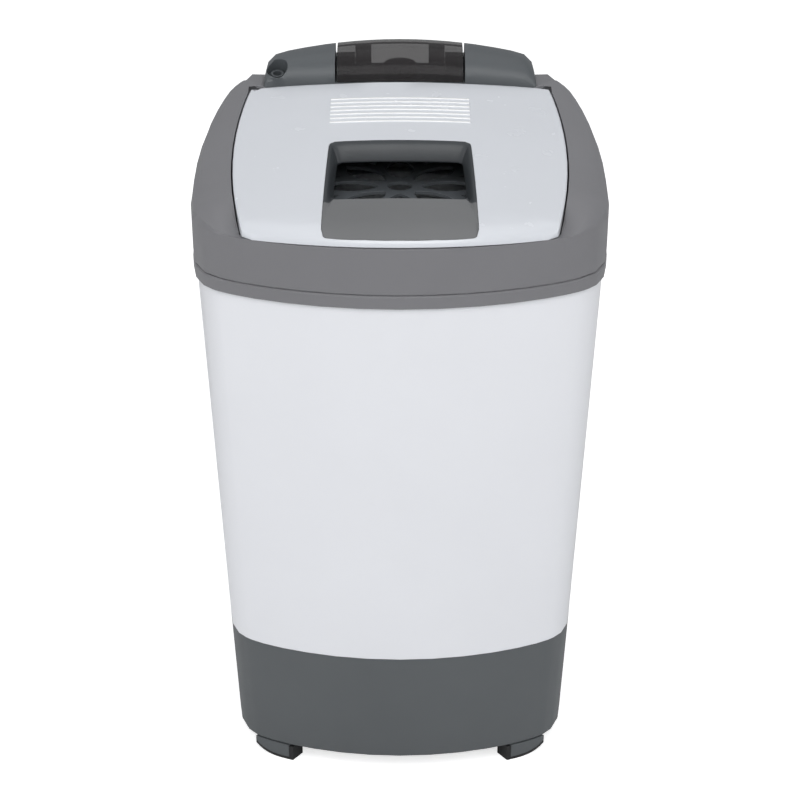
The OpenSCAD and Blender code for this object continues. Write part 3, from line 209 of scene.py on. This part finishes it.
def finished(node, material, angle=32.0):
    """A merged copy of a CAD piece with smooth faces and crisp edges, which stands for it."""
    source = frame["nodes"][node]
    piece = source.copy()
    piece.data = source.data.copy()
    piece.name = node + "_shell"
    for key in list(piece.keys()):
        del piece[key]
    piece.parent = None
    bpy.context.scene.collection.objects.link(piece)
    select_only(piece)
    bpy.ops.mesh.customdata_custom_splitnormals_clear()
    bpy.ops.object.mode_set(mode="EDIT")
    bpy.ops.mesh.select_all(action="SELECT")
    bpy.ops.mesh.remove_doubles(threshold=merge_distance)
    bpy.ops.object.mode_set(mode="OBJECT")
    bpy.ops.object.shade_smooth_by_angle(angle=radians(angle))
    bpy.ops.object.modifier_add(type="WEIGHTED_NORMAL")
    weighted = piece.modifiers[-1]
    weighted.keep_sharp = True
    bpy.ops.object.modifier_apply(modifier=weighted.name)
    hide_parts(node)
    return dress(piece, material, node_body[node])


base_plastic = moulded("base_plastic", (0.095, 0.104, 0.11), (0.15, 0.155, 0.16), 0.5,
                       pits=1800.0, depth=0.00006, tone=0.08)
finished("base_housing", base_plastic)

# ---- Bottom plate and its screws ----
# A pressed, zinc-plated plate closes the base and is held up by four pan-head screws.
# Plating shows as a dull bluish steel with a fine spangle and a slight rolling direction.


def metal(name, colour, rough, brush=(1.0, 1.0, 1.0), scale=220.0, depth=0.00003, tone=0.12):
    """A bare or plated metal, with fine lines drawn out along the axes that brush makes small."""
    material = bpy.data.materials.new(name)
    material.use_nodes = True
    tree = material.node_tree
    shader = tree.nodes["Principled BSDF"]
    shader.inputs["Metallic"].default_value = 1.0
    place = tree.nodes.new("ShaderNodeTexCoord")
    drawn = tree.nodes.new("ShaderNodeMapping")
    drawn.inputs["Scale"].default_value = brush
    face = wire(tree, "ShaderNodeGroup", node_tree=grain)
    face.inputs["Pits"].default_value = scale
    face.inputs["Tone Change"].default_value = tone
    face.inputs["Roughness"].default_value = rough
    face.inputs["Roughness Change"].default_value = 0.2
    edge = wire(tree, "ShaderNodeGroup", node_tree=edges)
    shaded = wire(tree, "ShaderNodeMix", data_type="RGBA", blend_type="MULTIPLY")
    shaded.inputs["Factor"].default_value = 1.0
    shaded.inputs["A"].default_value = (*colour, 1.0)
    bump = tree.nodes.new("ShaderNodeBump")
    bump.inputs["Distance"].default_value = depth
    bump.inputs["Strength"].default_value = 0.5
    join = tree.links.new
    join(place.outputs["Object"], drawn.inputs["Vector"])
    join(drawn.outputs["Vector"], face.inputs["Place"])
    join(face.outputs["Tone"], shaded.inputs["B"])
    join(shaded.outputs["Result"], shader.inputs["Base Color"])
    join(face.outputs["Roughness"], shader.inputs["Roughness"])
    join(face.outputs["Height"], bump.inputs["Height"])
    join(edge.outputs["Normal"], bump.inputs["Normal"])
    join(bump.outputs["Normal"], shader.inputs["Normal"])
    return material


zinc = metal("zinc_plate", (0.56, 0.57, 0.58), 0.42, brush=(0.15, 1.0, 1.0))
bright_steel = metal("bright_steel", (0.62, 0.62, 0.63), 0.28, brush=(1.0, 0.2, 1.0), scale=500.0)
finished("bottom_plate", zinc)
finished("cabinet_screws", bright_steel)

# ---- Foot pads and cord gland ----
# Soft black rubber: pads clipped round the bottom and outer face of each foot, and a ribbed
# bush in the back wall. Rubber is matt and picks up a grey bloom on its corners.
rubber = moulded("black_rubber", (0.016, 0.016, 0.017), (0.06, 0.06, 0.06), 0.62,
                 pits=2600.0, depth=0.00008, tone=0.25, wear=0.8)
for corner in ("front_left", "front_right", "rear_left", "rear_right"):
    finished("foot_pad_" + corner, rubber)
finished("cord_gland", rubber)

# ---- White body ----
# One tall ring of glossy white polypropylene, drafted towards the base, with the faint
# waviness of a large thin moulding and a hint of blue in the resin.
white_plastic = moulded("white_plastic", (0.8, 0.81, 0.845), (0.82, 0.83, 0.85), 0.3,
                        pits=700.0, depth=0.000018, tone=0.02, wear=0.0, coat=0.15)
finished("body_shell", white_plastic, angle=40.0)

# ---- Rim band and collar ----
# A mid grey satin band caps the body and the deep collar stands on it in the same resin.
# The collar's rails, shoulder and recess are one moulding with an even fine texture.
collar_plastic = moulded("collar_plastic", (0.188, 0.187, 0.198), (0.3, 0.3, 0.3), 0.46,
                         pits=1600.0, depth=0.00005, tone=0.06)
finished("rim_band", collar_plastic)
finished("collar", collar_plastic, angle=30.0)

# ---- Console ----
# The arched console is a darker, bluer moulding screwed down on the collar's ledge, with a
# bay for the timer knob, a dial plate glued in its floor and the spring timer underneath.
console_plastic = moulded("console_plastic", (0.086, 0.095, 0.102), (0.16, 0.17, 0.18), 0.44,
                          pits=1600.0, depth=0.00005, tone=0.06)
finished("console_housing", console_plastic, angle=34.0)
dial_film = moulded("dial_film", (0.07, 0.073, 0.08), (0.12, 0.12, 0.12), 0.5, tone=0.1)
finished("dial_plate", dial_film)
natural_plastic = moulded("natural_plastic", (0.56, 0.57, 0.56), (0.62, 0.62, 0.6), 0.45, tone=0.08)
finished("timer_unit", natural_plastic)

# ---- Dial marks ----
# Six minute marks and the figures 0 to 5 are printed in pale grey ink on the dial plate,
# round the knob, a few hundredths of a millimetre proud.
dial_low, dial_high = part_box("dial_plate")
knob_low, knob_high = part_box("timer_knob")
dial_x = (dial_low.x + dial_high.x) / 2
dial_y = knob_low.y / 2 + knob_high.y / 2
dial_ink = moulded("dial_ink", (0.62, 0.63, 0.64), (0.7, 0.7, 0.7), 0.6, tone=0.1)
mark_ring = 0.0182
figure_ring = 0.0213
mark_size = (0.0022, 0.0005, 0.0001)
mark_bevel = 0.00003
figure_size = 0.0034
figure_depth = 0.00004
ink_lift = (0.00004, 0.00005)
first_turn = 225
turn_step = 54
marks = []
for step in range(6):
    turn = radians(first_turn - step * turn_step)
    clear_selection()
    bpy.ops.mesh.primitive_cube_add(size=1.0, location=(
        dial_x + mark_ring * cos(turn), dial_y + mark_ring * sin(turn), dial_high.z + ink_lift[0]),
        rotation=(0, 0, turn))
    mark = bpy.context.object
    mark.scale = mark_size
    bpy.ops.object.transform_apply(location=True, rotation=True, scale=True)
    bpy.ops.object.mode_set(mode="EDIT")
    bpy.ops.mesh.select_all(action="SELECT")
    bpy.ops.mesh.bevel(offset=mark_bevel, segments=1)
    bpy.ops.object.mode_set(mode="OBJECT")
    marks.append(mark)
for step in range(6):
    turn = radians(first_turn - step * turn_step)
    clear_selection()
    bpy.ops.object.text_add(location=(0, 0, 0))
    figure = bpy.context.object
    figure.data.body = str(step)
    figure.data.size = figure_size
    figure.data.extrude = figure_depth
    figure.data.align_x = "CENTER"
    figure.data.align_y = "CENTER"
    bpy.ops.object.convert(target="MESH")
    figure = bpy.context.object
    figure.location = (dial_x + figure_ring * cos(turn), dial_y + figure_ring * sin(turn),
                       dial_high.z + ink_lift[1])
    bpy.ops.object.transform_apply(location=True, rotation=True, scale=True)
    marks.append(figure)
clear_selection()
for mark in marks:
    mark.select_set(True)
bpy.context.view_layer.objects.active = marks[0]
bpy.ops.object.join()
printed = bpy.context.object
printed.name = "dial_marks"
select_only(printed)
bpy.ops.object.transform_apply(location=True, rotation=True, scale=True)
dress(printed, dial_ink, "cabinet")

# ---- Timer knob ----
# A ribbed grip knob in warm grey satin plastic, pushed on the timer's spindle, with a flat
# top and a moulded pointer line. The smoke over it makes it look much darker.
knob_plastic = moulded("knob_plastic", (0.17, 0.155, 0.145), (0.24, 0.23, 0.22), 0.36,
                       pits=2000.0, tone=0.1, wear=0.8)
finished("timer_knob", knob_plastic, angle=28.0)

# ---- Smoked cover ----
# A thin smoked acrylic flap over the bay, hinged at the back on two steel pins. It is
# glossy, lets the knob show through, and has fine wiping marks.
smoked = bpy.data.materials.new("smoked_clear")
smoked.use_nodes = True
tree = smoked.node_tree
shader = tree.nodes["Principled BSDF"]
shader.inputs["IOR"].default_value = 1.2
place = tree.nodes.new("ShaderNodeTexCoord")
wiped = tree.nodes.new("ShaderNodeMapping")
wiped.inputs["Scale"].default_value = (0.2, 1.0, 1.0)
face = wire(tree, "ShaderNodeGroup", node_tree=grain)
face.inputs["Pits"].default_value = 260.0
face.inputs["Roughness"].default_value = 0.13
face.inputs["Roughness Change"].default_value = 0.1
face.inputs["Tone Change"].default_value = 0.12
tint = wire(tree, "ShaderNodeMix", data_type="RGBA", blend_type="MULTIPLY")
tint.inputs["Factor"].default_value = 1.0
tint.inputs["A"].default_value = (0.035, 0.033, 0.034, 1.0)
# Painted shade: the smoke's opacity rises over the rear of the bay, so that part of the flap reads
# darker where the bright room beyond it would show through.
painted_shade_from = 0.082
painted_shade_to = 0.092
rear = tree.nodes.new("ShaderNodeSeparateXYZ")
bump = tree.nodes.new("ShaderNodeBump")
bump.inputs["Distance"].default_value = 0.00001
bump.inputs["Strength"].default_value = 0.4
join = tree.links.new
join(place.outputs["Object"], wiped.inputs["Vector"])
join(wiped.outputs["Vector"], face.inputs["Place"])
join(face.outputs["Tone"], tint.inputs["B"])
join(tint.outputs["Result"], shader.inputs["Base Color"])
join(face.outputs["Roughness"], shader.inputs["Roughness"])
join(place.outputs["Object"], rear.inputs[0])
# Painted shade: opacity grows towards the rear of the flap.
painted_shade_opacity = remap(tree, rear.outputs["Y"], painted_shade_from, painted_shade_to, 0.4, 0.76, curve="SMOOTHSTEP")
join(reckon(tree, "MULTIPLY", painted_shade_opacity, face.outputs["Tone"]), shader.inputs["Alpha"])
join(face.outputs["Height"], bump.inputs["Height"])
join(bump.outputs["Normal"], shader.inputs["Normal"])
finished("timer_cover", smoked, angle=30.0)
finished("cover_hinge_pins", bright_steel)

# ---- Rinse inlet ----
# A small dark cup let into the console's left end, with the stub where a rinse hose is
# pushed on; both are one moulding, glossy where the hose slides.
inlet_plastic = moulded("inlet_plastic", (0.08, 0.088, 0.095), (0.15, 0.155, 0.16), 0.34,
                        pits=1500.0, tone=0.1, wear=0.7, coat=0.2)
finished("rinse_inlet", inlet_plastic)

# ---- Lid ----
# The lid is a glossy white panel with seven low ribs and a bare place above them, closed
# from below by a thin white liner. Its grey finger insert snaps into both.
lid_plastic = moulded("lid_plastic", (0.66, 0.68, 0.72), (0.8, 0.81, 0.83), 0.26,
                      pits=700.0, depth=0.000015, tone=0.02, wear=0.0, coat=0.25)
# The tops of the ribs are painted whiter than the panel, a painted highlight where they catch the
# light: a mask repeats every rib pitch and keeps to faces that look upward.
lines, rib_highlight_in, rib_highlight_out = shader_group(
    "painted_rib_highlight",
    [("Place", "NodeSocketVector", None), ("First", "NodeSocketFloat", 0.0175),
     ("Pitch", "NodeSocketFloat", 0.007), ("Half Width", "NodeSocketFloat", 0.06)],
    [("Highlight", "NodeSocketFloat")])
given = rib_highlight_in.outputs
rib_share = 0.17
middle_rib = 3.5
apart = wire(lines, "ShaderNodeSeparateXYZ")
upward = wire(lines, "ShaderNodeNewGeometry")
up = wire(lines, "ShaderNodeSeparateXYZ")
join = lines.links.new
join(given["Place"], apart.inputs[0])
join(upward.outputs["Normal"], up.inputs[0])
along = reckon(lines, "SUBTRACT", apart.outputs["Y"], given["First"])
count = reckon(lines, "DIVIDE", along, given["Pitch"])
on_rib = reckon(lines, "COMPARE", reckon(lines, "FRACT", count), 0.5, rib_share)
in_rows = reckon(lines, "COMPARE", count, middle_rib, middle_rib)
aside = reckon(lines, "ABSOLUTE", apart.outputs["X"])
in_width = reckon(lines, "LESS_THAN", aside, given["Half Width"])
on_top = reckon(lines, "GREATER_THAN", up.outputs["Z"], 0.2)
in_block = reckon(lines, "MULTIPLY", in_rows, in_width)
shown = reckon(lines, "MULTIPLY", on_rib, on_top)
join(reckon(lines, "MULTIPLY", in_block, shown), rib_highlight_out.inputs["Highlight"])


def two_tone(material, mask, colour):
    """Mix a second colour into a finished material where a mask group says so; here it paints the
    highlight on the lid's ribs and the shade in the finger insert.
    """
    tree = material.node_tree
    shader = tree.nodes["Principled BSDF"]
    before = shader.inputs["Base Color"].links[0].from_socket
    place = tree.nodes.new("ShaderNodeTexCoord")
    where = wire(tree, "ShaderNodeGroup", node_tree=mask)
    mixed = wire(tree, "ShaderNodeMix", data_type="RGBA")
    mixed.inputs["B"].default_value = (*colour, 1.0)
    tree.links.new(place.outputs["Object"], where.inputs["Place"])
    tree.links.new(where.outputs[0], mixed.inputs["Factor"])
    tree.links.new(before, mixed.inputs["A"])
    tree.links.new(mixed.outputs["Result"], shader.inputs["Base Color"])
    return where


# Painted highlight: the upward faces of the lid's ribs get a whiter colour.
two_tone(lid_plastic, lines, (0.88, 0.885, 0.89))
finished("lid_panel", lid_plastic, angle=28.0)
finished("lid_liner", white_plastic)
insert_plastic = moulded("insert_plastic", (0.155, 0.158, 0.162), (0.3, 0.3, 0.3), 0.4,
                         pits=1700.0, depth=0.00004, tone=0.08, wear=0.3)
# The walls past the ramp are given a near-black colour, darker than its satin face, as painted
# shade where little light gets down into the insert; the change follows a line across the insert at
# the ramp's back edge.
wall_shade, wall_shade_in, wall_shade_out = shader_group(
    "painted_wall_shade",
    [("Place", "NodeSocketVector", None), ("Line", "NodeSocketFloat", -0.06),
     ("Corner", "NodeSocketFloat", 0.0527), ("Blend", "NodeSocketFloat", 0.0006)],
    [("Shade", "NodeSocketFloat")])
given = wall_shade_in.outputs
corner_slant = 1.4
apart = wire(wall_shade, "ShaderNodeSeparateXYZ")
join = wall_shade.links.new
join(given["Place"], apart.inputs[0])
past = reckon(wall_shade, "SUBTRACT", apart.outputs["Y"], given["Line"])
aside = reckon(wall_shade, "ABSOLUTE", apart.outputs["X"])
outer = reckon(wall_shade, "MAXIMUM", reckon(wall_shade, "SUBTRACT", aside, given["Corner"]), 0.0)
splayed = reckon(wall_shade, "MULTIPLY_ADD", outer, corner_slant, past)
join(reckon(wall_shade, "DIVIDE", splayed, given["Blend"], clamp=True), wall_shade_out.inputs["Shade"])
# Painted shade: the insert's walls past the ramp's back edge get a near-black colour.
ramp_edge = two_tone(insert_plastic, wall_shade, (0.036, 0.041, 0.046))
ramp_edge.inputs["Line"].default_value = -0.1016
finished("lid_handle", insert_plastic, angle=40.0)
finished("lid_hinge_pins", bright_steel)

# ---- Inner safety cover ----
# A dark grille over the mouth of the tub, with an eye, eight long petals and sixteen short
# ones. It is one moulding with its rim and two hinge knuckles, which turn on a steel pin in
# lugs that are screwed to the recess floor.
grille_plastic = moulded("grille_plastic", (0.1, 0.11, 0.12), (0.16, 0.17, 0.18), 0.5,
                         pits=1400.0, depth=0.00005, tone=0.12)
finished("inner_cover", grille_plastic)
finished("inner_cover_bracket", grille_plastic)
finished("inner_cover_pin", bright_steel)

# ---- Lid switch ----
# A pale switch box under the recess floor with a red plunger that the lid's rim presses.
red_plastic = moulded("red_plastic", (0.45, 0.03, 0.02), (0.6, 0.2, 0.15), 0.3, coat=0.2)
finished("lid_switch", natural_plastic)
finished("switch_plunger", red_plastic)

# ---- Tub and drain ----
# The tub is a natural polypropylene drum with a sump; a rubber bellows seals the shaft and
# a black elbow leads the water out through the back of the base.
tub_plastic = moulded("tub_plastic", (0.5, 0.53, 0.55), (0.6, 0.62, 0.63), 0.4,
                      pits=900.0, depth=0.00004, tone=0.08)
finished("outer_tub", tub_plastic)
finished("tub_seal", rubber)
drain_plastic = moulded("drain_plastic", (0.028, 0.028, 0.03), (0.09, 0.09, 0.09), 0.42,
                        pits=1500.0, tone=0.15, wear=0.8)
finished("drain_spout", drain_plastic)

# ---- Basket ----
# The basket is rolled stainless sheet, pierced in rows, with a raised centre; a hollow
# plastic ring filled with brine balances its top edge, and a nut clamps it to its hub.
stainless = metal("stainless", (0.5, 0.5, 0.51), 0.34, brush=(1.0, 1.0, 14.0), scale=120.0,
                  depth=0.00002)
finished("spin_basket", stainless, angle=25.0)
finished("balance_ring", tub_plastic)
cast_metal = metal("cast_metal", (0.58, 0.59, 0.6), 0.5, scale=900.0, depth=0.00012)
finished("basket_hub", cast_metal)
finished("hub_nut", bright_steel)

# ---- Motor and its mounts ----
# An induction motor between two cast end shields hangs in a three-armed pressed plate on
# rubber and spring legs, with its capacitor beside it; only the underside gives a view of it.
iron = metal("turned_iron", (0.3, 0.3, 0.31), 0.45, scale=700.0, depth=0.0001)
winding = moulded("enamelled_winding", (0.3, 0.1, 0.035), (0.4, 0.18, 0.08), 0.3,
                  pits=900.0, depth=0.0003, tone=0.3, coat=0.3)
finished("motor_casing", cast_metal)
finished("motor_stator", winding)
finished("motor_rotor", iron)
finished("motor_plate", zinc)
finished("drive_shaft", bright_steel)
finished("motor_bearings", bright_steel)
finished("motor_bolts", bright_steel)
finished("suspension_mounts", rubber)
finished("capacitor", natural_plastic)

# ---- Brake ----
# A drum on the shaft, a faced pad on a pressed lever, the bracket it turns on and the
# sheathed cable from the lid switch, which lets the pad come on when the lid is raised.
pad_facing = moulded("pad_facing", (0.06, 0.04, 0.03), (0.12, 0.09, 0.07), 0.7,
                     pits=500.0, depth=0.0002, tone=0.4)
finished("brake_drum", iron)
finished("brake_lever", zinc)
finished("brake_pad", pad_facing)
finished("brake_bracket", zinc)
finished("brake_cable", rubber)

# ---- Setting ----
# A pale seamless floor under soft lamps, as for a catalogue picture. The floor and the
# world show white to the camera and keep the shadow under the machine.
clear_selection()
bpy.ops.mesh.primitive_plane_add(size=14.0, location=(0, 0, 0))
floor = bpy.context.object
floor.name = "floor"
floor_paint = bpy.data.materials.new("floor_paint")
floor_paint.use_nodes = True
tree = floor_paint.node_tree
shader = tree.nodes["Principled BSDF"]
shader.inputs["Base Color"].default_value = (0.85, 0.85, 0.85, 1.0)
shader.inputs["Roughness"].default_value = 0.9
shader.inputs["Specular IOR Level"].default_value = 0.0
shader.inputs["Emission Color"].default_value = (1.0, 1.0, 1.0, 1.0)
floor_lift = 0.66
path = tree.nodes.new("ShaderNodeLightPath")
tree.links.new(reckon(tree, "MULTIPLY", path.outputs["Is Camera Ray"], floor_lift),
               shader.inputs["Emission Strength"])
floor.data.materials.append(floor_paint)

world = bpy.data.worlds.new("studio")
bpy.context.scene.world = world
world.use_nodes = True
tree = world.node_tree
for node in list(tree.nodes):
    tree.nodes.remove(node)
path = tree.nodes.new("ShaderNodeLightPath")
glow = tree.nodes.new("ShaderNodeBackground")
glow.inputs["Color"].default_value = (0.97, 0.985, 1.0, 1.0)
glow.inputs["Strength"].default_value = 0.45
paper = tree.nodes.new("ShaderNodeBackground")
paper.inputs["Color"].default_value = (1.0, 1.0, 1.0, 1.0)
paper.inputs["Strength"].default_value = 1.0
choose = tree.nodes.new("ShaderNodeMixShader")
out = tree.nodes.new("ShaderNodeOutputWorld")
join = tree.links.new
join(reckon(tree, "MAXIMUM", path.outputs["Is Camera Ray"], path.outputs["Is Transmission Ray"]),
     choose.inputs["Fac"])
join(glow.outputs[0], choose.inputs[1])
join(paper.outputs[0], choose.inputs[2])
join(choose.outputs[0], out.inputs["Surface"])


def lamp(name, place, target, size, power):
    """A square soft lamp that faces a point."""
    light = bpy.data.lights.new(name, "AREA")
    light.shape = "SQUARE"
    light.size = size
    light.energy = power
    holder = bpy.data.objects.new(name, light)
    bpy.context.scene.collection.objects.link(holder)
    holder.location = place
    holder.rotation_euler = (Vector(target) - Vector(place)).to_track_quat("-Z", "Y").to_euler()


lamp("front_lamp", (0.0, -1.7, 2.0), (0, 0, 0.4), 1.5, 24.0)
lamp("left_lamp", (-2.2, -0.8, 1.5), (0, 0, 0.3), 1.6, 12.0)
lamp("right_lamp", (2.2, -0.8, 1.5), (0, 0, 0.3), 1.6, 10.0)
lamp("top_lamp", (0.0, 0.5, 2.6), (0, 0, 0.4), 1.8, 6.5)

camera = bpy.data.cameras.new("camera")
camera.lens = 85.0
camera.sensor_width = 36.0
viewer = bpy.data.objects.new("camera", camera)
bpy.context.scene.collection.objects.link(viewer)
viewer.location = (0.0, -1.5136, 1.0977)
viewer.rotation_euler = (radians(62.36), 0.0, 0.0)
bpy.context.scene.camera = viewer
bpy.context.scene.view_settings.view_transform = "Standard"
